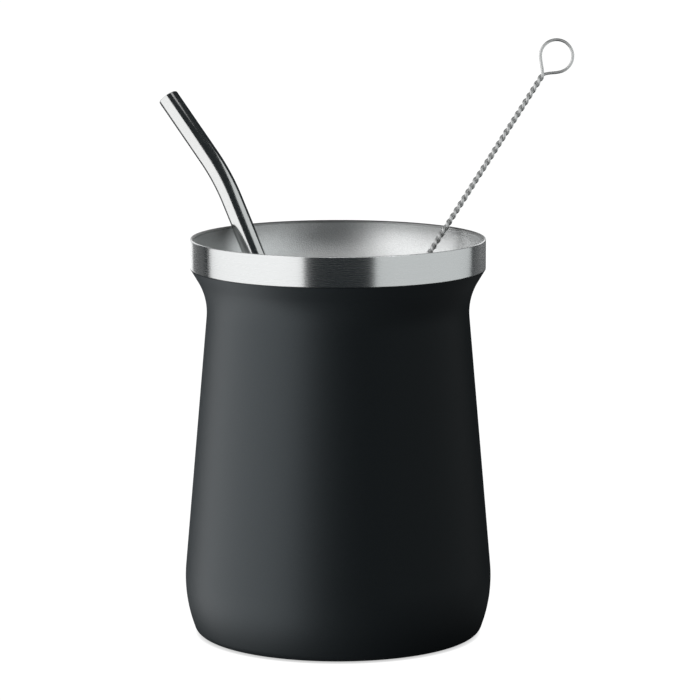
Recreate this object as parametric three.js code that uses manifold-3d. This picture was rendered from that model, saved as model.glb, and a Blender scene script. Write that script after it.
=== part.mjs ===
// A double-walled steel mate cup, black outside, with a bent steel straw and a straw brush standing in it.
// Millimetres, +Z up. The cup's axis is Z and its foot stands on Z = 0.
// The straw leans to -X and the brush to +X, and both lean back to +Y.
import * as THREE from 'three';
import { mergeVertices } from 'three/addons/utils/BufferGeometryUtils.js';
import Module from 'manifold-3d';

// Cup: outside. Angles are in degrees from straight down, positive towards the axis.
const CUP_HEIGHT = 110.4;
const BAND_RADIUS = 40.68;
const BAND_HEIGHT = 8.3;
const BAND_EDGE = 0.4;
const LIP_ROUND = 0.75;
const FLARE_ANGLE = 31;
const FLARE_LENGTH = 4;
const NECK_BEND = 16.8;
const BODY_TAPER = 5;
const BELLY_BEND = 39.2;
const TUCK_ANGLE = 18.6;
const TUCK_LENGTH = 1.25;
const FOOT_BEND = 3;
const NECK_STEPS = 5;
const BELLY_STEPS = 4;
const FOOT_STEPS = 3;

// Cup: inside, drawn from the lip down to the floor.
const FUNNEL_BEND = 18;
const FUNNEL_ANGLE = 30;
const FUNNEL_LENGTH = 3.5;
const THROAT_BEND = 16;
const WALL_TAPER = 2.9;
const WALL_LENGTH = 72.4;
const FLOOR_BEND = 10;
const LINER_WALL = 1;
const GAP = 0.3;
const FUNNEL_STEPS = 4;
const FUNNEL_BACK_STEPS = 2;
const THROAT_STEPS = 4;
const FLOOR_STEPS = 5;
const LIP_TURNS = [45, 90, 135, 180];
const CUP_SIDES = 48;

// Straw: the centres of its foot and tip, and the corner where its two straight legs would meet.
const STRAW_FOOT = new THREE.Vector3(17.3, -12.6, 7.8);
const STRAW_CORNER = new THREE.Vector3(-32.6, 28.1, 124.1);
const STRAW_TIP = new THREE.Vector3(-48.3, 37.9, 145.7);
const STRAW_RADIUS = 3;
const STRAW_BORE = 2.5;
const STRAW_EDGE = 0.38;
const STRAW_EASE = 0.095;
const STRAW_BEND = 66;
const STRAW_BEND_STEPS = 4;
const STRAW_SIDES = 16;

// Brush: one wire doubled and twisted, with a loop on top and bristles caught in its lower end.
const BRUSH_TIP = new THREE.Vector3(-32, 8.4, 13.5);
const BRUSH_TOP = new THREE.Vector3(57.4, 28.75, 152.85);
const WIRE_RADIUS = 0.425;
const WIRE_SIDES = 8;
const STRAND_TURN = 60;
const STRAND_WAIST = 0.3;
const TWIST_PITCH = 4;
const TWIST_STEPS = 7;
const LOOP_RADIUS = 4.56;
const LOOP_DISTANCE = 6.6;
const LOOP_LEAN = 4;
const LOOP_ROOT = 0.6;
const LOOP_STOPS = 10;
const LOOP_STEPS = 28;
const BRISTLE_RADIUS = 3.2;
const BRISTLE_START = 2;
const BRISTLE_LENGTH = 36;
const BRISTLE_TAPER = 4;
const BRISTLE_SIDES = 16;

// Corners of a mesh closer than this are one corner.
const SAME_POINT = 1e-4;

const rad = THREE.MathUtils.degToRad;
const sin = (degrees) => Math.sin(rad(degrees));
const cos = (degrees) => Math.cos(rad(degrees));
const tan = (degrees) => Math.tan(rad(degrees));

const blackCoat = new THREE.MeshStandardMaterial({ color: 0x2a2e31, roughness: 0.55, metalness: 0 });
const brushedSteel = new THREE.MeshStandardMaterial({ color: 0xc2c3c1, roughness: 0.32, metalness: 1 });
const polishedSteel = new THREE.MeshStandardMaterial({ color: 0xcfd0cf, roughness: 0.16, metalness: 1 });
const drawnWire = new THREE.MeshStandardMaterial({ color: 0xb9bab8, roughness: 0.28, metalness: 1 });
const whiteNylon = new THREE.MeshStandardMaterial({ color: 0xe8e8e3, roughness: 0.6, metalness: 0 });

// A pen that draws a lathe outline from the top down. Its heading is an angle from straight down.
class Pen {
  constructor(radius, height, heading) {
    this.at = new THREE.Vector2(radius, height);
    this.heading = heading;
    this.points = [this.at.clone()];
  }

  line(length) {
    this.at.x -= length * sin(this.heading);
    this.at.y -= length * cos(this.heading);
    this.points.push(this.at.clone());
  }

  bend(radius, heading, steps) {
    const side = heading > this.heading ? 1 : -1;
    const centre = new THREE.Vector2(
      this.at.x - side * radius * cos(this.heading),
      this.at.y + side * radius * sin(this.heading),
    );
    for (let i = 1; i <= steps; i += 1) {
      const angle = this.heading + ((heading - this.heading) * i) / steps;
      const x = centre.x + side * radius * cos(angle);
      this.points.push(new THREE.Vector2(x, centre.y - side * radius * sin(angle)));
    }
    this.at.copy(this.points.at(-1));
    this.heading = heading;
  }

  lineToAxis() {
    this.at.x = 0;
    this.points.push(this.at.clone());
  }
}

// Turns an outline of [radius, height] points round the Z axis.
function lathe(points, sides) {
  return new THREE.LatheGeometry(points, sides).rotateX(Math.PI / 2);
}

const lipCentreRadius = BAND_RADIUS - LIP_ROUND;
const lipCentreHeight = CUP_HEIGHT - LIP_ROUND;
const bandFoot = CUP_HEIGHT - BAND_HEIGHT;

// The cup's inner wall from a height below the lip to the axis, moved outwards by an offset.
function innerWall(offset, fromHeight) {
  const funnel = FUNNEL_BEND + offset;
  const heading = THREE.MathUtils.radToDeg(Math.asin((lipCentreHeight - fromHeight) / funnel));
  const lipRadius = lipCentreRadius - LIP_ROUND + offset;
  const pen = new Pen(lipRadius - funnel * (1 - cos(heading)), fromHeight, heading);
  pen.bend(funnel, FUNNEL_ANGLE, offset > 0 ? FUNNEL_BACK_STEPS : FUNNEL_STEPS);
  pen.line(FUNNEL_LENGTH);
  pen.bend(THROAT_BEND - offset, -WALL_TAPER, THROAT_STEPS);
  pen.line(WALL_LENGTH);
  pen.bend(FLOOR_BEND + offset, 90, FLOOR_STEPS);
  pen.lineToAxis();
  return pen.points;
}

// The black outer body: from just under the steel band over the neck and belly to the flat foot,
// then up inside along the steel liner.
function bodyShell() {
  const fixedDrop =
    FLARE_LENGTH * cos(FLARE_ANGLE) +
    NECK_BEND * (sin(FLARE_ANGLE) + sin(BODY_TAPER)) +
    BELLY_BEND * (sin(BODY_TAPER) + sin(TUCK_ANGLE)) +
    TUCK_LENGTH * cos(TUCK_ANGLE) +
    FOOT_BEND * (1 - sin(TUCK_ANGLE));
  const coneLength = (bandFoot - fixedDrop) / cos(BODY_TAPER);
  const pen = new Pen(BAND_RADIUS - GAP * tan(FLARE_ANGLE), bandFoot - GAP, FLARE_ANGLE);
  pen.line(FLARE_LENGTH - GAP / cos(FLARE_ANGLE));
  pen.bend(NECK_BEND, -BODY_TAPER, NECK_STEPS);
  pen.line(coneLength);
  pen.bend(BELLY_BEND, TUCK_ANGLE, BELLY_STEPS);
  pen.line(TUCK_LENGTH);
  pen.bend(FOOT_BEND, 90, FOOT_STEPS);
  pen.lineToAxis();
  const outside = pen.points.reverse();
  const inside = innerWall(LINER_WALL + GAP, bandFoot - GAP);
  return lathe([...outside, ...inside], CUP_SIDES);
}

// The bare steel inner cup: floor, inner wall, rounded lip and the band that shows outside.
function steelLiner() {
  const inside = innerWall(0, lipCentreHeight).reverse();
  const lip = LIP_TURNS.map(
    (turn) =>
      new THREE.Vector2(lipCentreRadius - LIP_ROUND * cos(turn), lipCentreHeight + LIP_ROUND * sin(turn)),
  );
  const bandEdge = [
    new THREE.Vector2(BAND_RADIUS, bandFoot + BAND_EDGE),
    new THREE.Vector2(BAND_RADIUS - BAND_EDGE, bandFoot),
  ];
  const outside = innerWall(LINER_WALL, bandFoot);
  return lathe([...inside, ...lip, ...bandEdge, ...outside].reverse(), CUP_SIDES);
}

// A right-handed frame whose Z axis is along one direction and whose X axis leans towards another.
function frameAlong(origin, along, towards) {
  const z = along.clone().normalize();
  const y = new THREE.Vector3().crossVectors(z, towards).normalize();
  const x = new THREE.Vector3().crossVectors(y, z);
  const group = new THREE.Group();
  group.quaternion.setFromRotationMatrix(new THREE.Matrix4().makeBasis(x, y, z));
  group.position.copy(origin);
  return group;
}

// A straight steel tube with rounded cut ends, bent once in its local XZ plane.
function bentStraw(lowerLeg, upperLeg, turn) {
  const tangent = STRAW_BEND * Math.tan(turn / 2);
  const bendStart = lowerLeg - tangent;
  const bendLength = STRAW_BEND * turn;
  const bendEnd = bendStart + bendLength;
  const length = bendEnd + upperLeg - tangent;
  const bendStops = [];
  for (let i = 0; i <= STRAW_BEND_STEPS; i += 1) {
    bendStops.push(bendStart + (bendLength * i) / STRAW_BEND_STEPS);
  }
  const shoulder = STRAW_RADIUS - STRAW_EASE;
  const middle = (shoulder + STRAW_BORE - STRAW_EASE) / 2;
  const profile = [
    [STRAW_BORE, STRAW_EASE],
    [middle, 0],
    [shoulder, STRAW_EASE],
    [STRAW_RADIUS, STRAW_EDGE],
    ...bendStops.map((stop) => [STRAW_RADIUS, stop]),
    [STRAW_RADIUS, length - STRAW_EDGE],
    [shoulder, length - STRAW_EASE],
    [middle, length],
    [STRAW_BORE, length - STRAW_EASE],
    ...bendStops.map((stop) => [STRAW_BORE, stop]).reverse(),
    [STRAW_BORE, STRAW_EASE],
  ];
  const tube = lathe(profile.map(([radius, height]) => new THREE.Vector2(radius, height)), STRAW_SIDES);
  const position = tube.attributes.position;
  for (let i = 0; i < position.count; i += 1) {
    const height = position.getZ(i);
    const side = position.getX(i);
    const angle = THREE.MathUtils.clamp((height - bendStart) / STRAW_BEND, 0, turn);
    const before = Math.min(height, bendStart);
    const after = Math.max(height - bendEnd, 0);
    const x = STRAW_BEND * (1 - Math.cos(angle)) + after * Math.sin(angle) + side * Math.cos(angle);
    const z = before + STRAW_BEND * Math.sin(angle) + after * Math.cos(angle) - side * Math.sin(angle);
    position.setX(i, x);
    position.setZ(i, z);
  }
  return tube;
}

// Two round strands side by side, drawn with three points on each and a waist between them.
function strandPair() {
  const lobe = [-STRAND_TURN, 0, STRAND_TURN];
  const right = lobe.map((turn) => [WIRE_RADIUS * (1 + cos(turn)), WIRE_RADIUS * sin(turn)]);
  const left = right.map(([x, y]) => [-x, -y]);
  const waist = STRAND_WAIST;
  const outline = [...right, [0, waist], ...left, [0, -waist]];
  return new THREE.Shape(outline.map(([x, y]) => new THREE.Vector2(x, y)));
}

// The doubled wire: the pair drawn out along Z and twisted left-handed, so that at the top
// one strand is in front of the other.
function twistedPair(length) {
  const steps = Math.round((length / TWIST_PITCH) * TWIST_STEPS);
  const wire = new THREE.ExtrudeGeometry(strandPair(), { depth: length, steps, bevelEnabled: false });
  const position = wire.attributes.position;
  for (let i = 0; i < position.count; i += 1) {
    const x = position.getX(i);
    const y = position.getY(i);
    const angle = Math.PI / 2 + (2 * Math.PI * (length - position.getZ(i))) / TWIST_PITCH;
    position.setX(i, x * Math.cos(angle) - y * Math.sin(angle));
    position.setY(i, x * Math.sin(angle) + y * Math.cos(angle));
  }
  return wire;
}

// The loop: up from the front strand along a leg to the left, round a circle, and down the right leg
// to the back strand.
function wireLoop(length) {
  const half = Math.acos(LOOP_RADIUS / LOOP_DISTANCE);
  const lean = rad(LOOP_LEAN);
  const centreX = LOOP_DISTANCE * Math.sin(lean);
  const centreZ = length + LOOP_DISTANCE * Math.cos(lean);
  const root = new THREE.Vector3(0, -WIRE_RADIUS, length - LOOP_ROOT);
  const route = [root];
  for (let i = 0; i <= LOOP_STOPS; i += 1) {
    const share = i / LOOP_STOPS;
    const angle = lean + Math.PI + half + share * (2 * Math.PI - 2 * half);
    const x = centreX + LOOP_RADIUS * Math.sin(angle);
    const z = centreZ + LOOP_RADIUS * Math.cos(angle);
    route.push(new THREE.Vector3(x, WIRE_RADIUS * (2 * share - 1), z));
  }
  route.push(new THREE.Vector3(0, WIRE_RADIUS, length - LOOP_ROOT));
  const section = new THREE.Shape();
  section.absarc(0, 0, WIRE_RADIUS, 0, 2 * Math.PI);
  return new THREE.ExtrudeGeometry(section, {
    extrudePath: new THREE.CatmullRomCurve3(route),
    steps: LOOP_STEPS,
    curveSegments: WIRE_SIDES / 2,
    bevelEnabled: false,
  });
}

const wasm = await Module();
wasm.setup();

function toSolid(geometry) {
  const bare = geometry.clone();
  bare.deleteAttribute('normal');
  bare.deleteAttribute('uv');
  const merged = mergeVertices(bare, SAME_POINT);
  return new wasm.Manifold(
    new wasm.Mesh({
      numProp: 3,
      vertProperties: new Float32Array(merged.attributes.position.array),
      triVerts: new Uint32Array(merged.index.array),
    }),
  );
}

function toGeometry(solid) {
  const mesh = solid.getMesh();
  const geometry = new THREE.BufferGeometry();
  geometry.setAttribute('position', new THREE.BufferAttribute(mesh.vertProperties, 3));
  geometry.setIndex(new THREE.BufferAttribute(mesh.triVerts, 1));
  geometry.computeVertexNormals();
  return geometry;
}

// The bristles' outline round the wire: a sleeve that narrows to its two ends.
function bristleHead() {
  const inner = 2 * WIRE_RADIUS + GAP;
  const end = BRISTLE_START + BRISTLE_LENGTH;
  const narrow = (inner + BRISTLE_RADIUS) / 2;
  const profile = [
    [inner, BRISTLE_START],
    [narrow, BRISTLE_START],
    [BRISTLE_RADIUS, BRISTLE_START + BRISTLE_TAPER],
    [BRISTLE_RADIUS, end - BRISTLE_TAPER],
    [narrow, end],
    [inner, end],
    [inner, BRISTLE_START],
  ];
  return lathe(profile.map(([radius, height]) => new THREE.Vector2(radius, height)), BRISTLE_SIDES);
}

function addPiece(group, name, geometry, material) {
  const piece = new THREE.Mesh(geometry, material);
  piece.name = name;
  group.add(piece);
}

const cup = new THREE.Group();
addPiece(cup, 'body_shell', bodyShell(), blackCoat);
addPiece(cup, 'steel_liner', steelLiner(), brushedSteel);

const lowerLeg = new THREE.Vector3().subVectors(STRAW_CORNER, STRAW_FOOT);
const upperLeg = new THREE.Vector3().subVectors(STRAW_TIP, STRAW_CORNER);
const strawFrame = frameAlong(STRAW_FOOT, lowerLeg, upperLeg);
const strawTurn = lowerLeg.angleTo(upperLeg);
addPiece(strawFrame, 'straw', bentStraw(lowerLeg.length(), upperLeg.length(), strawTurn), polishedSteel);

const brushLine = new THREE.Vector3().subVectors(BRUSH_TOP, BRUSH_TIP);
const brushFrame = frameAlong(BRUSH_TIP, brushLine, new THREE.Vector3(1, 0, 0));
const twist = toSolid(twistedPair(brushLine.length()));
const loop = toSolid(wireLoop(brushLine.length()));
addPiece(brushFrame, 'brush_wire', toGeometry(twist.add(loop)), drawnWire);
addPiece(brushFrame, 'brush_bristles', bristleHead(), whiteNylon);

const mateCup = new THREE.Group();
mateCup.add(cup, strawFrame, brushFrame);

export default mateCup;
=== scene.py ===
import math

import bmesh
import bpy
from mathutils import Matrix, Vector


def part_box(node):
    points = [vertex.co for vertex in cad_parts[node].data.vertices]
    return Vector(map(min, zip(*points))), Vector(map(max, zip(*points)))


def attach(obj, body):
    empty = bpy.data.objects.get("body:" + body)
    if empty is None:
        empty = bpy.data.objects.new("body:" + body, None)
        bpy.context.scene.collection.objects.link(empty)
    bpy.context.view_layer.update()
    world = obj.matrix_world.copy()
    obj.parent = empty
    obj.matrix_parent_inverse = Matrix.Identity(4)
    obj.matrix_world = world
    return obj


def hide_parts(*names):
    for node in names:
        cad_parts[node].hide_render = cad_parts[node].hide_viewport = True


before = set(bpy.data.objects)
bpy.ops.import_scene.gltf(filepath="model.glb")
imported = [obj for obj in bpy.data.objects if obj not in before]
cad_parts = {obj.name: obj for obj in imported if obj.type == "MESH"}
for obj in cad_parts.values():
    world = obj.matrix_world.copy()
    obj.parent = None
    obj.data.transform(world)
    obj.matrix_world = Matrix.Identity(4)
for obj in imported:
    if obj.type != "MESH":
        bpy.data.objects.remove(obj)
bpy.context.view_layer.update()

# Lengths are in metres. Angles that are named values, and headings, are in degrees.


# The steel inner cup. One sheet of stainless steel spun to shape: flat floor, wall, narrow throat and
# open funnel. It is welded to the outer wall at the lip, which is ground round, and its inside is left
# in a fine satin grain with faint rings from the lathe.
CUP_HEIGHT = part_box("steel_liner")[1].z
BAND_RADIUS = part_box("steel_liner")[1].x
BAND_HEIGHT = 0.0083
BAND_GAP = 0.00002
LIP_INNER_ROUND = 0.0006
LIP_OUTER_ROUND = 0.0003
FUNNEL_BEND = 0.018
FUNNEL_ANGLE = 30
FUNNEL_LENGTH = 0.0048
THROAT_BEND = 0.016
WALL_TAPER = 2.9
WALL_LENGTH = 0.0714
FLOOR_BEND = 0.010
LINER_WALL = 0.001
BEND_STEPS = 12
FLOOR_STEPS = 18
LATHE_SIDES = 192
SMOOTH_BELOW = 40
SAME_POINT = 0.000001
STEEL_COLOUR = (0.74, 0.75, 0.75, 1)
QUARTER_TURN = 0.25
NOISE_LOW = 0.3
NOISE_HIGH = 0.7
STREAKS_ROUND = 3
STREAKS_PER_METRE = 4200
STREAK_DETAIL = 3
STREAK_SPREAD = 0.008
STREAK_DARKEST = 0.97
SATIN_ROUGHNESS = 0.36
SATIN_STRETCH = 0.3
SATIN_GRAINS_PER_METRE = 3500
SATIN_GRAIN_DETAIL = 2
SATIN_GRAIN_DEPTH = 0.00007
SATIN_DARKEST = 0.8
# Painted shade just under the lip: how dark it gets, and where it starts and ends below the top.
PAINTED_LIP_SHADE = 0.25
PAINTED_LIP_SHADE_START = 0.0009
PAINTED_LIP_SHADE_END = 0.0003


class Outline:
    """A line drawn in edit mode in the XZ plane, from a small circle that is merged into its first point.

    Its heading is an angle in degrees from straight down, positive towards the Z axis.
    """

    def __init__(self, name, radius, height):
        bpy.ops.object.select_all(action="DESELECT")
        bpy.ops.mesh.primitive_circle_add(vertices=3, radius=radius / 2, location=(radius, 0, height))
        bpy.ops.object.transform_apply(location=True, rotation=False, scale=False)
        self.piece = bpy.context.object
        self.piece.name = name
        bpy.ops.object.mode_set(mode="EDIT")
        bpy.ops.mesh.merge(type="COLLAPSE")
        self.start_at(radius, height, 0)

    def start_at(self, radius, height, heading):
        self.radius = radius
        self.height = height
        self.heading = heading
        place = Vector((radius, 0, height))
        select_where(self.piece, lambda point: (point - place).length < SAME_POINT)

    def line(self, length):
        inwards = length * math.sin(math.radians(self.heading))
        down = length * math.cos(math.radians(self.heading))
        bpy.ops.mesh.extrude_region_move(TRANSFORM_OT_translate={"value": (-inwards, 0, -down)})
        self.radius -= inwards
        self.height -= down

    def bend(self, bend_radius, heading, steps=BEND_STEPS):
        side = 1 if heading > self.heading else -1
        start = math.radians(self.heading)
        end = math.radians(heading)
        centre_x = self.radius - side * bend_radius * math.cos(start)
        centre_z = self.height + side * bend_radius * math.sin(start)
        bpy.ops.mesh.spin(steps=steps, angle=end - start, center=(centre_x, 0, centre_z), axis=(0, -1, 0))
        self.radius = centre_x + side * bend_radius * math.cos(end)
        self.height = centre_z - side * bend_radius * math.sin(end)
        self.heading = heading

    def line_to_axis(self):
        self.heading = 90
        self.line(self.radius)

    def turn_on_lathe(self):
        """Spins the outline round the Z axis into a closed piece with its faces outwards."""
        bpy.ops.mesh.select_all(action="SELECT")
        bpy.ops.mesh.spin(steps=LATHE_SIDES, angle=2 * math.pi, center=(0, 0, 0), axis=(0, 0, 1))
        bpy.ops.mesh.select_all(action="SELECT")
        bpy.ops.mesh.remove_doubles(threshold=SAME_POINT)
        bpy.ops.mesh.normals_make_consistent(inside=False)
        bpy.ops.object.mode_set(mode="OBJECT")
        bpy.ops.object.shade_smooth_by_angle(angle=math.radians(SMOOTH_BELOW))
        return self.piece


def select_where(piece, wanted):
    """In edit mode, selects the vertices whose place passes the test, with the edges between them."""
    bpy.ops.mesh.select_all(action="DESELECT")
    mesh = bmesh.from_edit_mesh(piece.data)
    for vertex in mesh.verts:
        vertex.select = wanted(vertex.co)
    mesh.select_flush(True)
    bmesh.update_edit_mesh(piece.data)


def sine(angle):
    return math.sin(math.radians(angle))


def cosine(angle):
    return math.cos(math.radians(angle))


def draw_inner_wall(outline, offset):
    """The inner wall from inside the lip down to the axis, moved outwards by an offset."""
    outline.bend(FUNNEL_BEND + offset, FUNNEL_ANGLE)
    outline.line(FUNNEL_LENGTH)
    outline.bend(THROAT_BEND - offset, -WALL_TAPER)
    outline.line(WALL_LENGTH)
    outline.bend(FLOOR_BEND + offset, 90, steps=FLOOR_STEPS)
    outline.line_to_axis()


lip_height = CUP_HEIGHT - LIP_INNER_ROUND
lip_radius = BAND_RADIUS - LIP_OUTER_ROUND - BAND_GAP - LIP_INNER_ROUND
band_foot = CUP_HEIGHT - BAND_HEIGHT


def funnel_at(offset, height):
    """Radius and heading of the funnel's bend at a height, moved outwards by an offset."""
    bend = FUNNEL_BEND + offset
    heading = math.degrees(math.asin((lip_height - height) / bend))
    return lip_radius - FUNNEL_BEND + bend * cosine(heading), heading


steel_cup_line = Outline("steel_inner_cup", lip_radius, lip_height)
draw_inner_wall(steel_cup_line, 0)
steel_cup_line.start_at(lip_radius, lip_height, 180)
steel_cup_line.bend(LIP_INNER_ROUND, 270)
steel_cup_line.heading = 0
steel_cup_line.line(BAND_HEIGHT)
back_radius, back_heading = funnel_at(LINER_WALL, band_foot)
steel_cup_line.heading = 90
steel_cup_line.line(steel_cup_line.radius - back_radius)
steel_cup_line.heading = back_heading
draw_inner_wall(steel_cup_line, LINER_WALL)
steel_cup = steel_cup_line.turn_on_lathe()


class Finish:
    """A material with one Principled shader, whose uniform values are set on its own sockets."""

    def __init__(self, name, **sockets):
        self.material = bpy.data.materials.new(name)
        self.material.use_nodes = True
        self.nodes = self.material.node_tree.nodes
        self.links = self.material.node_tree.links
        self.shader = self.nodes["Principled BSDF"]
        for socket, value in sockets.items():
            self.shader.inputs[socket.replace("_", " ")].default_value = value

    def add(self, kind, *sources, **settings):
        """Adds a node, makes its settings and links the sources to its first sockets."""
        node = self.nodes.new("ShaderNode" + kind)
        for setting, value in settings.items():
            setattr(node, setting, value)
        for socket, source in zip(node.inputs, sources):
            self.links.new(source, socket)
        return node

    def place(self):
        """Each point's place in the piece's own coordinates."""
        return self.add("TexCoord").outputs["Object"]

    def noise(self, place, scale, detail):
        noise = self.add("TexNoise", place)
        noise.inputs["Scale"].default_value = scale
        noise.inputs["Detail"].default_value = detail
        return noise.outputs["Fac"]

    def lathe_streaks(self):
        """A noise drawn out into rings: it changes slowly round the Z axis and fast along the wall."""
        parts = self.add("SeparateXYZ", self.place())
        flat = self.add("CombineXYZ", parts.outputs["X"], parts.outputs["Y"])
        round_about = self.add("VectorMath", flat.outputs[0], operation="NORMALIZE")
        slow = self.add("VectorMath", round_about.outputs[0], operation="SCALE")
        slow.inputs["Scale"].default_value = STREAKS_ROUND
        outwards = self.add("VectorMath", flat.outputs[0], operation="LENGTH")
        along_wall = self.add("Math", parts.outputs["Z"], outwards.outputs["Value"], operation="ADD")
        fast = self.add("Math", along_wall.outputs[0], operation="MULTIPLY")
        fast.inputs[1].default_value = STREAKS_PER_METRE
        lifted = self.add("CombineXYZ")
        self.links.new(fast.outputs[0], lifted.inputs["Z"])
        drawn_out = self.add("VectorMath", slow.outputs[0], lifted.outputs[0], operation="ADD")
        return self.noise(drawn_out.outputs[0], 1, STREAK_DETAIL)

    def spread(self, source, low, high, from_low=NOISE_LOW, from_high=NOISE_HIGH):
        """Turns a value, by default a noise, into one between two limits."""
        mapped = self.add("MapRange", source)
        mapped.inputs["From Min"].default_value = from_low
        mapped.inputs["From Max"].default_value = from_high
        mapped.inputs["To Min"].default_value = low
        mapped.inputs["To Max"].default_value = high
        return mapped.outputs["Result"]

    def set_tone(self, noise, colour, darkest, lightest=1):
        """Lets a noise move the colour between two shares of its brightness."""
        tone = self.add("Mix", data_type="RGBA")
        tone.inputs["A"].default_value = [darkest * part for part in colour[:3]] + [1]
        tone.inputs["B"].default_value = [lightest * part for part in colour[:3]] + [1]
        self.links.new(self.spread(noise, 0, 1), tone.inputs["Factor"])
        self.links.new(tone.outputs["Result"], self.shader.inputs["Base Color"])

    def darken(self, share):
        """Multiplies the colour that is already linked by a share."""
        product = self.add("Mix", data_type="RGBA", blend_type="MULTIPLY")
        product.inputs["Factor"].default_value = 1
        self.links.new(self.shader.inputs["Base Color"].links[0].from_socket, product.inputs["A"])
        self.links.new(share, product.inputs["B"])
        self.links.new(product.outputs["Result"], self.shader.inputs["Base Color"])

    def set_roughness(self, noise, smoothest, roughest):
        self.links.new(self.spread(noise, smoothest, roughest), self.shader.inputs["Roughness"])

    def set_relief(self, noise, depth):
        bump = self.add("Bump")
        bump.inputs["Distance"].default_value = depth
        self.links.new(noise, bump.inputs["Height"])
        self.links.new(bump.outputs["Normal"], self.shader.inputs["Normal"])


def lathe_steel(name, roughness, stretch):
    """Steel worked on the lathe: its gloss is drawn out across the streaks that run round the axis."""
    steel = Finish(name, Metallic=1, Anisotropic=stretch, Anisotropic_Rotation=QUARTER_TURN)
    streaks = steel.lathe_streaks()
    steel.set_roughness(streaks, roughness - STREAK_SPREAD, roughness + STREAK_SPREAD)
    steel.set_tone(streaks, STEEL_COLOUR, STREAK_DARKEST)
    return steel


# The satin's grain shows as fine darker specks, and a thin line just under the lip is darkened as painted
# shade.
satin_steel = lathe_steel("satin_steel", SATIN_ROUGHNESS, SATIN_STRETCH)
grain = satin_steel.noise(satin_steel.place(), SATIN_GRAINS_PER_METRE, SATIN_GRAIN_DETAIL)
satin_steel.set_relief(grain, SATIN_GRAIN_DEPTH)
satin_steel.darken(satin_steel.spread(grain, SATIN_DARKEST, 1))
height = satin_steel.add("SeparateXYZ", satin_steel.place()).outputs["Z"]
shade_start = CUP_HEIGHT - PAINTED_LIP_SHADE_START
shade_end = CUP_HEIGHT - PAINTED_LIP_SHADE_END
# Painted shade: the colour is darkened in a thin line just under the top of the lip.
satin_steel.darken(satin_steel.spread(height, 1, PAINTED_LIP_SHADE, shade_start, shade_end))
steel_cup.data.materials.append(satin_steel.material)
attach(steel_cup, "root")
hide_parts("steel_liner")


# The bare band. The top of the outer wall, left without a coat, welded to the inner cup at the lip and
# brushed round and round on the lathe with a fine belt.
BAND_EDGE_STEPS = 8
BRUSHED_ROUGHNESS = 0.27
BRUSHED_STRETCH = 0.96

band_line = Outline("bare_steel_band", BAND_RADIUS - LIP_OUTER_ROUND, CUP_HEIGHT)
band_line.heading = -90
band_line.bend(LIP_OUTER_ROUND, 0, steps=BAND_EDGE_STEPS)
band_line.line(BAND_HEIGHT - 2 * LIP_OUTER_ROUND)
band_line.bend(LIP_OUTER_ROUND, 90, steps=BAND_EDGE_STEPS)
band_line.heading = 180
band_line.line(BAND_HEIGHT)
band = band_line.turn_on_lathe()

brushed_steel = lathe_steel("brushed_steel", BRUSHED_ROUGHNESS, BRUSHED_STRETCH)
band.data.materials.append(brushed_steel.material)
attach(band, "root")
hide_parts("steel_liner")


# The black outer body. A second steel wall, spun with a tight neck and a full belly, closed under the
# band and powder coated in matt charcoal from the band's lower edge to the foot.
FLARE_ANGLE = 31
FLARE_LENGTH = 0.004
NECK_BEND = 0.0168
BODY_TAPER = 5
BELLY_BEND = 0.0392
TUCK_ANGLE = 18.6
TUCK_LENGTH = 0.00125
FOOT_BEND = 0.003
COAT_GAP = 0.00004
BODY_GAP = 0.0003
BODY_STEPS = 14
COAT_COLOUR = (0.0105, 0.0135, 0.0155, 1)
COAT_ROUGHNESS = 0.47
COAT_TINT = (0.86, 0.95, 1, 1)
COAT_DARKEST = 0.8
COAT_LIGHTEST = 1.2
COAT_GRAINS_PER_METRE = 3300
COAT_GRAIN_DETAIL = 3
COAT_GRAIN_DEPTH = 0.000006

bends_drop = (
    FLARE_LENGTH * cosine(FLARE_ANGLE)
    + NECK_BEND * (sine(FLARE_ANGLE) + sine(BODY_TAPER))
    + BELLY_BEND * (sine(BODY_TAPER) + sine(TUCK_ANGLE))
    + TUCK_LENGTH * cosine(TUCK_ANGLE)
    + FOOT_BEND * (1 - sine(TUCK_ANGLE))
)
cone_length = (band_foot - bends_drop) / cosine(BODY_TAPER)
coat_top = band_foot - COAT_GAP
coat_radius = BAND_RADIUS - COAT_GAP * math.tan(math.radians(FLARE_ANGLE))
body_line = Outline("black_outer_body", coat_radius, coat_top)
body_line.start_at(coat_radius, coat_top, FLARE_ANGLE)
body_line.line(FLARE_LENGTH - COAT_GAP / cosine(FLARE_ANGLE))
body_line.bend(NECK_BEND, -BODY_TAPER, steps=BODY_STEPS)
body_line.line(cone_length)
body_line.bend(BELLY_BEND, TUCK_ANGLE, steps=BODY_STEPS)
body_line.line(TUCK_LENGTH)
body_line.bend(FOOT_BEND, 90)
body_line.line_to_axis()
body_line.start_at(coat_radius, coat_top, 90)
inside_offset = LINER_WALL + BODY_GAP
inside_radius, inside_heading = funnel_at(inside_offset, coat_top)
body_line.line(coat_radius - inside_radius)
body_line.heading = inside_heading
draw_inner_wall(body_line, inside_offset)
black_body = body_line.turn_on_lathe()

black_coat = Finish("black_powder_coat", Roughness=COAT_ROUGHNESS, Specular_Tint=COAT_TINT)
grain = black_coat.noise(black_coat.place(), COAT_GRAINS_PER_METRE, COAT_GRAIN_DETAIL)
black_coat.set_tone(grain, COAT_COLOUR, COAT_DARKEST, COAT_LIGHTEST)
black_coat.set_relief(grain, COAT_GRAIN_DEPTH)
black_body.data.materials.append(black_coat.material)
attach(black_body, "root")
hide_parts("body_shell")


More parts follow.
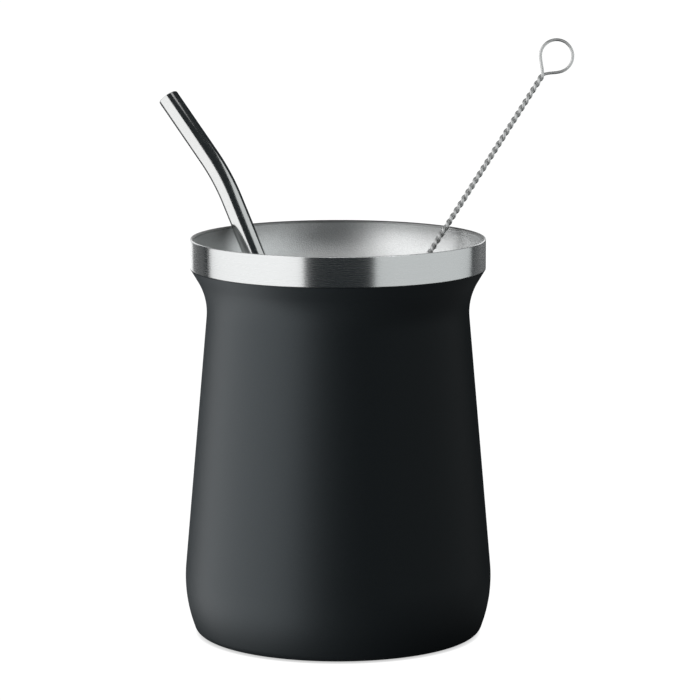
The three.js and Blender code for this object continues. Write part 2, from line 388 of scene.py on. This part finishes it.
# The straw. A thin-walled stainless steel tube, cut square, its ends rounded by polishing, and bent
# once near the top. It only rests in the cup, on the floor in front and on the lip behind.
STRAW_FOOT = Vector((0.0173, -0.0126, 0.0078))
STRAW_CORNER = Vector((-0.0326, 0.0281, 0.1241))
STRAW_TIP = Vector((-0.0483, 0.0379, 0.1457))
STRAW_RADIUS = 0.003
STRAW_WALL = 0.0005
STRAW_EDGE = 0.00022
STRAW_EDGE_STEPS = 3
STRAW_EDGE_ANGLE = 60
STRAW_BEND = 0.066
STRAW_BEND_STEPS = 24
STRAW_SIDES = 48
TUBE_SMOOTH_BELOW = 50
STRAW_COLOUR = (0.72, 0.725, 0.72, 1)
STRAW_DARKEST = 0.96
STRAW_SMOOTHEST = 0.13
STRAW_ROUGHEST = 0.18
STRAW_MARKS_PER_METRE = 900
STRAW_MARK_DETAIL = 4


def placed_along(piece, origin, along, towards):
    """Moves a piece made round its own Z axis to an origin and a direction, its X axis leaning to another."""
    z = along.normalized()
    y = z.cross(towards).normalized()
    x = y.cross(z)
    piece.matrix_world = Matrix.Translation(origin) @ Matrix((x, y, z)).transposed().to_4x4()
    bpy.ops.object.select_all(action="DESELECT")
    piece.select_set(True)
    bpy.context.view_layer.objects.active = piece
    bpy.ops.object.transform_apply(location=True, rotation=True, scale=True)


def apply_modifier(piece, kind, **settings):
    """Adds a modifier to a piece and applies it."""
    modifier = piece.modifiers.new(kind.lower(), kind)
    for setting, value in settings.items():
        setattr(modifier, setting, value)
    bpy.context.view_layer.objects.active = piece
    bpy.ops.object.modifier_apply(modifier=modifier.name)


lower_leg = STRAW_CORNER - STRAW_FOOT
upper_leg = STRAW_TIP - STRAW_CORNER
straw_turn = lower_leg.angle(upper_leg)
leg_cut = STRAW_BEND * math.tan(straw_turn / 2)
bend_start = lower_leg.length - leg_cut
upper_length = upper_leg.length - leg_cut
upper_step = (math.sin(straw_turn) * upper_length, 0, math.cos(straw_turn) * upper_length)
bpy.ops.object.select_all(action="DESELECT")
bpy.ops.mesh.primitive_circle_add(vertices=STRAW_SIDES, radius=STRAW_RADIUS)
straw = bpy.context.object
straw.name = "bent_steel_straw"
bpy.ops.object.mode_set(mode="EDIT")
bpy.ops.mesh.extrude_region_move(TRANSFORM_OT_translate={"value": (0, 0, bend_start)})
bend_centre = (STRAW_BEND, 0, bend_start)
bpy.ops.mesh.spin(steps=STRAW_BEND_STEPS, angle=straw_turn, center=bend_centre, axis=(0, -1, 0))
bpy.ops.mesh.extrude_region_move(TRANSFORM_OT_translate={"value": upper_step})
bpy.ops.mesh.select_all(action="SELECT")
bpy.ops.mesh.remove_doubles(threshold=SAME_POINT)
bpy.ops.mesh.normals_make_consistent(inside=False)
bpy.ops.object.mode_set(mode="OBJECT")
apply_modifier(straw, "SOLIDIFY", thickness=STRAW_WALL, offset=-1)
apply_modifier(
    straw,
    "BEVEL",
    width=STRAW_EDGE,
    segments=STRAW_EDGE_STEPS,
    limit_method="ANGLE",
    angle_limit=math.radians(STRAW_EDGE_ANGLE),
)
placed_along(straw, STRAW_FOOT, lower_leg, upper_leg)
bpy.ops.object.shade_smooth_by_angle(angle=math.radians(TUBE_SMOOTH_BELOW))

polished_steel = Finish("polished_steel_tube", Metallic=1)
marks = polished_steel.noise(polished_steel.place(), STRAW_MARKS_PER_METRE, STRAW_MARK_DETAIL)
polished_steel.set_roughness(marks, STRAW_SMOOTHEST, STRAW_ROUGHEST)
polished_steel.set_tone(marks, STRAW_COLOUR, STRAW_DARKEST)
straw.data.materials.append(polished_steel.material)
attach(straw, "root")
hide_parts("straw")


# The brush's wire. One bright steel wire, doubled, its middle left open as a finger loop and the two
# strands twisted left-handed down to the tip. It leans in the cup from the floor to the lip.
BRUSH_TIP = Vector((-0.032, 0.0084, 0.0135))
BRUSH_TOP = Vector((0.0574, 0.02875, 0.15285))
WIRE_RADIUS = 0.000425
WIRE_SIDES = 14
TWIST_PITCH = 0.004
TWIST_STEPS = 24
LOOP_RADIUS = 0.00456
LOOP_DISTANCE = 0.0066
LOOP_LEAN = 4
LOOP_STEPS = 48
JOIN_CUTS = 10
WIRE_COLOUR = (0.70, 0.705, 0.70, 1)
WIRE_DARKEST = 0.95
WIRE_SMOOTHEST = 0.31
WIRE_ROUGHEST = 0.44
WIRE_MARKS_PER_METRE = 900
WIRE_MARK_DETAIL = 2


def select_open_rings(piece, wanted):
    """In edit mode, selects the edges at a piece's open ends whose middle passes the test."""
    bpy.ops.mesh.select_mode(type="EDGE")
    bpy.ops.mesh.select_all(action="DESELECT")
    mesh = bmesh.from_edit_mesh(piece.data)
    for edge in mesh.edges:
        middle = (edge.verts[0].co + edge.verts[1].co) / 2
        edge.select_set(edge.is_boundary and wanted(middle))
    bmesh.update_edit_mesh(piece.data)


brush_line = BRUSH_TOP - BRUSH_TIP
brush_length = brush_line.length
lay_angle = math.atan(2 * math.pi * WIRE_RADIUS / TWIST_PITCH)
turns = brush_length / TWIST_PITCH
bpy.ops.object.select_all(action="DESELECT")
bpy.ops.mesh.primitive_circle_add(vertices=WIRE_SIDES, radius=WIRE_RADIUS, fill_type="NGON")
wire = bpy.context.object
wire.name = "twisted_loop_wire"
bpy.ops.object.mode_set(mode="EDIT")
bpy.ops.transform.rotate(value=-lay_angle, orient_axis="X", center_override=(0, 0, 0))
bpy.ops.transform.translate(value=(WIRE_RADIUS, 0, 0))
bpy.ops.mesh.duplicate()
bpy.ops.transform.rotate(value=math.pi, orient_axis="Z", center_override=(0, 0, 0))
bpy.ops.object.mode_set(mode="OBJECT")
start_turn = math.pi / 2 + 2 * math.pi * turns
wire.data.transform(Matrix.Rotation(start_turn, 4, "Z"))
apply_modifier(
    wire,
    "SCREW",
    axis="Z",
    angle=-2 * math.pi * turns,
    screw_offset=brush_length,
    steps=round(turns * TWIST_STEPS),
    render_steps=round(turns * TWIST_STEPS),
    use_smooth_shade=True,
)

loop_half = math.acos(LOOP_RADIUS / LOOP_DISTANCE)
loop_lean = math.radians(LOOP_LEAN)
loop_start = loop_lean + math.pi + loop_half
loop_across = LOOP_DISTANCE * math.sin(loop_lean)
loop_above = brush_length + LOOP_DISTANCE * math.cos(loop_lean)
bpy.ops.object.select_all(action="DESELECT")
bpy.ops.mesh.primitive_circle_add(vertices=WIRE_SIDES, radius=WIRE_RADIUS)
loop = bpy.context.object
bpy.ops.object.mode_set(mode="EDIT")
bpy.ops.transform.translate(value=(LOOP_RADIUS, -WIRE_RADIUS, 0))
bpy.ops.transform.rotate(value=-(loop_start - math.pi / 2), orient_axis="Y", center_override=(0, 0, 0))
bpy.ops.object.mode_set(mode="OBJECT")
apply_modifier(
    loop,
    "SCREW",
    axis="Y",
    angle=2 * (math.pi - loop_half),
    screw_offset=2 * WIRE_RADIUS,
    steps=LOOP_STEPS,
    render_steps=LOOP_STEPS,
    use_smooth_shade=True,
)
bpy.ops.object.mode_set(mode="EDIT")
bpy.ops.mesh.select_all(action="SELECT")
bpy.ops.transform.translate(value=(loop_across, 0, loop_above))
bpy.ops.object.mode_set(mode="OBJECT")
wire.select_set(True)
bpy.context.view_layer.objects.active = wire
bpy.ops.object.join()
bpy.ops.object.mode_set(mode="EDIT")
for side in (-1, 1):
    select_open_rings(wire, lambda point: point.y * side > 0 and point.z > brush_length / 2)
    bpy.ops.mesh.bridge_edge_loops(number_cuts=JOIN_CUTS, interpolation="SURFACE", smoothness=1)
bpy.ops.mesh.select_all(action="SELECT")
bpy.ops.mesh.fill_holes(sides=WIRE_SIDES)
bpy.ops.mesh.select_all(action="SELECT")
bpy.ops.mesh.normals_make_consistent(inside=False)
bpy.ops.object.mode_set(mode="OBJECT")
placed_along(wire, BRUSH_TIP, brush_line, Vector((1, 0, 0)))
bpy.ops.object.shade_smooth_by_angle(angle=math.radians(TUBE_SMOOTH_BELOW))

drawn_wire = Finish("drawn_steel_wire", Metallic=1)
marks = drawn_wire.noise(drawn_wire.place(), WIRE_MARKS_PER_METRE, WIRE_MARK_DETAIL)
drawn_wire.set_roughness(marks, WIRE_SMOOTHEST, WIRE_ROUGHEST)
drawn_wire.set_tone(marks, WIRE_COLOUR, WIRE_DARKEST)
wire.data.materials.append(drawn_wire.material)
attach(wire, "root")
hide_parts("brush_wire")


# The brush's bristles. Fine white nylon filaments, caught between the two strands as they are twisted,
# so that they stand out all round in a screw line, and cut shorter at both ends.
BRISTLE_RADIUS = 0.0032
BRISTLE_START = 0.002
BRISTLE_LENGTH = 0.036
BRISTLE_TAPER = 0.004
BRISTLE_NARROW = 0.7
FILAMENT_RADIUS = 0.00005
FILAMENT_SIDES = 5
FILAMENT_JOINTS = (-0.6, -0.2, 0.2, 0.6)
FILAMENT_FAN = (-34, -21, -7, 5, 19, 33)
FILAMENT_SHORTER = (0.05, 0, 0.03, 0.01, 0.06, 0.02)
TUFT_STEP = 0.00012
WORK_STEP = 0.0048
FILAMENT_WAVE = 0.0005
WAVE_SIZE = 0.0016
NYLON_COLOUR = (0.86, 0.86, 0.83, 1)
NYLON_DARKEST = 0.9
NYLON_ROUGHNESS = 0.4
NYLON_MARKS_PER_METRE = 1200
NYLON_MARK_DETAIL = 2

bpy.ops.object.select_all(action="DESELECT")
bpy.ops.mesh.primitive_cylinder_add(
    vertices=FILAMENT_SIDES,
    radius=FILAMENT_RADIUS,
    depth=2 * BRISTLE_RADIUS,
    rotation=(0, math.radians(90), 0),
)
bristles = bpy.context.object
bristles.name = "nylon_bristles"
bpy.ops.object.transform_apply(location=True, rotation=True, scale=True)
bpy.ops.object.mode_set(mode="EDIT")
bpy.ops.mesh.select_mode(type="VERT")
for joint in FILAMENT_JOINTS:
    bpy.ops.mesh.select_all(action="SELECT")
    bpy.ops.mesh.bisect(plane_co=(joint * BRISTLE_RADIUS, 0, 0), plane_no=(1, 0, 0))

# The filaments of a tuft are fanned out far apart, so that each can be picked, and then drawn together.
for number, (turn, shorter) in enumerate(zip(FILAMENT_FAN, FILAMENT_SHORTER)):
    select_where(bristles, lambda point: abs(point.z) < 2 * FILAMENT_RADIUS)
    bpy.ops.mesh.duplicate()
    bpy.ops.transform.resize(value=(1 - shorter, 1, 1), center_override=(0, 0, 0))
    bpy.ops.transform.rotate(value=math.radians(turn), orient_axis="Z", center_override=(0, 0, 0))
    bpy.ops.transform.translate(value=(0, 0, (number + 1) * WORK_STEP))
select_where(bristles, lambda point: abs(point.z) < 2 * FILAMENT_RADIUS)
bpy.ops.mesh.delete(type="VERT")
mesh = bmesh.from_edit_mesh(bristles.data)
for vertex in mesh.verts:
    level = round(vertex.co.z / WORK_STEP)
    vertex.co.z += level * (TUFT_STEP / len(FILAMENT_FAN) - WORK_STEP)
bmesh.update_edit_mesh(bristles.data)
bpy.ops.object.mode_set(mode="OBJECT")
tuft_step = bpy.data.objects.new("tuft_step", None)
bpy.context.scene.collection.objects.link(tuft_step)
tuft_step.location = (0, 0, TUFT_STEP)
tuft_step.rotation_euler = (0, 0, -2 * math.pi * TUFT_STEP / TWIST_PITCH)
bpy.context.view_layer.update()
apply_modifier(
    bristles,
    "ARRAY",
    count=round(BRISTLE_LENGTH / TUFT_STEP),
    use_relative_offset=False,
    use_object_offset=True,
    offset_object=tuft_step,
)
bpy.data.objects.remove(tuft_step)
waves = bpy.data.textures.new("filament_waves", "CLOUDS")
waves.noise_scale = WAVE_SIZE
apply_modifier(
    bristles, "DISPLACE", texture=waves, direction="RGB_TO_XYZ", strength=FILAMENT_WAVE, mid_level=0.5
)
bristle_turn = start_turn + math.pi / 2 - 2 * math.pi * BRISTLE_START / TWIST_PITCH
for vertex in bristles.data.vertices:
    reach = min(vertex.co.z, BRISTLE_LENGTH - vertex.co.z) / BRISTLE_TAPER
    narrow = BRISTLE_NARROW + (1 - BRISTLE_NARROW) * max(0, min(1, reach))
    vertex.co.x *= narrow
    vertex.co.y *= narrow
bristles.data.transform(Matrix.Translation((0, 0, BRISTLE_START)) @ Matrix.Rotation(bristle_turn, 4, "Z"))
placed_along(bristles, BRUSH_TIP, brush_line, Vector((1, 0, 0)))

white_nylon = Finish("white_nylon", Roughness=NYLON_ROUGHNESS)
marks = white_nylon.noise(white_nylon.place(), NYLON_MARKS_PER_METRE, NYLON_MARK_DETAIL)
white_nylon.set_tone(marks, NYLON_COLOUR, NYLON_DARKEST)
bristles.data.materials.append(white_nylon.material)
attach(bristles, "root")
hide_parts("brush_bristles")


# The camera stands a metre in front of the cup and looks down on it by nine degrees.
CAMERA_PLACE = (0.00329, -1.0173, 0.2399)
CAMERA_TILT = 81.02
CAMERA_LENS = 191.65
CAMERA_SENSOR = 36
CAMERA_REACH = 100
camera_data = bpy.data.cameras.new("photo_camera")
camera_data.lens = CAMERA_LENS
camera_data.sensor_width = CAMERA_SENSOR
camera_data.clip_end = CAMERA_REACH
camera = bpy.data.objects.new("photo_camera", camera_data)
camera.location = CAMERA_PLACE
camera.rotation_euler = (math.radians(CAMERA_TILT), 0, 0)
bpy.context.scene.collection.objects.link(camera)
bpy.context.scene.camera = camera


# The studio: a table that glows white, and softboxes on all sides of the cup, each of which lights only
# the pieces that it is given. Only the table shows in the picture, with a white background behind it.
FLOOR_SIZE = 30
FLOOR_DROP = 0.0002
FLOOR_GLOW = 1.05
FLOOR_ROUGHNESS = 0.9
SHADOW_REACH = 0.0012
SHADOW_DEEPEST = 0.55
BLACK = (0, 0, 0, 1)
WHITE = (1, 1, 1, 1)
STUDIO_GREY = (0.022, 0.026, 0.028, 1)
FOOT_SHADE_SIDES = 96
FOOT_SHADE_SIZE = 0.066
FOOT_SHADE_START = 0.036
POWER_PER_AREA = 4

bpy.ops.object.select_all(action="DESELECT")
bpy.ops.mesh.primitive_plane_add(size=FLOOR_SIZE, location=(0, 0, -FLOOR_DROP))
floor = bpy.context.object
floor.name = "white_table"
white_table = Finish(
    "white_table",
    Base_Color=BLACK,
    Specular_IOR_Level=0,
    Roughness=FLOOR_ROUGHNESS,
    Emission_Strength=FLOOR_GLOW,
)
contact = white_table.add("AmbientOcclusion")
contact.inputs["Distance"].default_value = SHADOW_REACH
glow = white_table.spread(contact.outputs["AO"], SHADOW_DEEPEST, 1, 0, 1)
white_table.links.new(glow, white_table.shader.inputs["Emission Color"])
floor.data.materials.append(white_table.material)
floor.visible_glossy = False
floor.visible_diffuse = False
floor.visible_shadow = False

# The shade round the foot is seen only in the coat's gloss, where it darkens the table's reflection.
bpy.ops.object.select_all(action="DESELECT")
bpy.ops.mesh.primitive_circle_add(
    vertices=FOOT_SHADE_SIDES, radius=FOOT_SHADE_SIZE, fill_type="NGON", location=(0, 0, -FLOOR_DROP / 2)
)
foot_shade = bpy.context.object
foot_shade.name = "shade_round_foot"
soft_shade = Finish("soft_shade", Base_Color=BLACK, Specular_IOR_Level=0, Roughness=1)
outwards = soft_shade.add("VectorMath", soft_shade.place(), operation="LENGTH")
fade = soft_shade.spread(outwards.outputs["Value"], 1, 0, FOOT_SHADE_START, FOOT_SHADE_SIZE)
soft_shade.links.new(fade, soft_shade.shader.inputs["Alpha"])
foot_shade.data.materials.append(soft_shade.material)
foot_shade.visible_camera = False
foot_shade.visible_diffuse = False
foot_shade.visible_shadow = False


def softbox(name, centre, width, height, brightness, pieces, colour=(1, 1, 1)):
    """A rectangular light in a wall of the studio, which faces the cup and lights only some pieces."""
    data = bpy.data.lights.new(name, "AREA")
    data.shape = "RECTANGLE"
    data.size = width
    data.size_y = height
    data.energy = POWER_PER_AREA * brightness * width * height
    data.color = colour
    light = bpy.data.objects.new(name, data)
    light.location = centre
    wall_axis = max(range(3), key=lambda axis: abs(centre[axis]))
    facing = Vector((0, 0, 0))
    facing[wall_axis] = -centre[wall_axis]
    light.rotation_euler = facing.to_track_quat("-Z", "Y").to_euler()
    light.visible_camera = False
    bpy.context.scene.collection.objects.link(light)
    lit = bpy.data.collections.new(name + "_lights")
    for piece in pieces:
        lit.objects.link(piece)
    light.light_linking.receiver_collection = lit


RIGHT_TINT = (0.97, 1, 1)
tube_and_wire = [straw, wire, bristles]
softbox("left_softbox", (-1.2, -0.915, -0.1), 3.05, 4.2, 0.91, [band, *tube_and_wire])
softbox("right_softbox", (1.2, -0.68, 0), 3.04, 4.2, 0.53, [band], RIGHT_TINT)
softbox("low_right_softbox", (1.2, -0.78, -0.3), 2.86, 3.5, 0.57, tube_and_wire, RIGHT_TINT)
softbox("back_softbox", (-0.42, 2.0, -0.6), 1.0, 1.2, 0.9, [band, *tube_and_wire])
softbox("grey_back_wall", (-0.2, 2.01, -0.4), 5, 1.2, 0.085, [band, *tube_and_wire])
softbox("cup_left_softbox", (-1.2, -0.6, 1.15), 3.0, 1.9, 1.2, [steel_cup])
softbox("cup_right_softbox", (1.2, 0.25, 1.2), 3.4, 1.8, 0.66, [steel_cup], RIGHT_TINT)
softbox("high_front_softbox", (0, -1.35, 1.75), 2.4, 1.1, 0.55, [steel_cup])
softbox("lip_softbox", (0, -0.3, 1.75), 2.4, 0.7, 1.5, [band])
softbox("lip_back_softbox", (0, 2.0, 0.75), 3.0, 1.0, 0.8, [band])
softbox("cup_back_softbox", (0, 2.0, 0.7), 4.0, 1.1, 0.6, [steel_cup])
softbox("cup_low_left_softbox", (-1.21, 1.2, 0.25), 1.7, 0.35, 0.55, [steel_cup])
softbox("overhead_softbox", (0, 0.2, 2.2), 1.6, 1.4, 0.4, [steel_cup, straw, wire])
softbox("bristle_softbox", (0, 0.2, 2.2), 1.6, 1.4, 3.0, [bristles])
softbox("wire_back_softbox", (0, 2.0, 0.3), 4.0, 3.0, 0.45, [wire])
softbox("wire_fill", (0, -1.6, 1.0), 3.0, 3.0, 0.25, [wire])
softbox("coat_left_softbox", (-1.2, -0.65, 0.2), 3.22, 3.6, 1.36, [black_body])
softbox("coat_right_softbox", (1.2, -0.54, 0.45), 3.1, 1.4, 0.17, [black_body], RIGHT_TINT)
softbox("table_glow", (0, 0, -0.8), 5, 5, 0.055, [black_body])

world = bpy.data.worlds.new("studio")
world.use_nodes = True
nodes = world.node_tree.nodes
links = world.node_tree.links
grey = nodes["Background"]
grey.inputs["Color"].default_value = STUDIO_GREY
white = nodes.new("ShaderNodeBackground")
white.inputs["Color"].default_value = WHITE
seen = nodes.new("ShaderNodeLightPath")
either = nodes.new("ShaderNodeMixShader")
links.new(seen.outputs["Is Camera Ray"], either.inputs["Fac"])
links.new(grey.outputs[0], either.inputs[1])
links.new(white.outputs[0], either.inputs[2])
links.new(either.outputs[0], nodes["World Output"].inputs["Surface"])
bpy.context.scene.world = world
bpy.context.scene.view_settings.view_transform = "Standard"
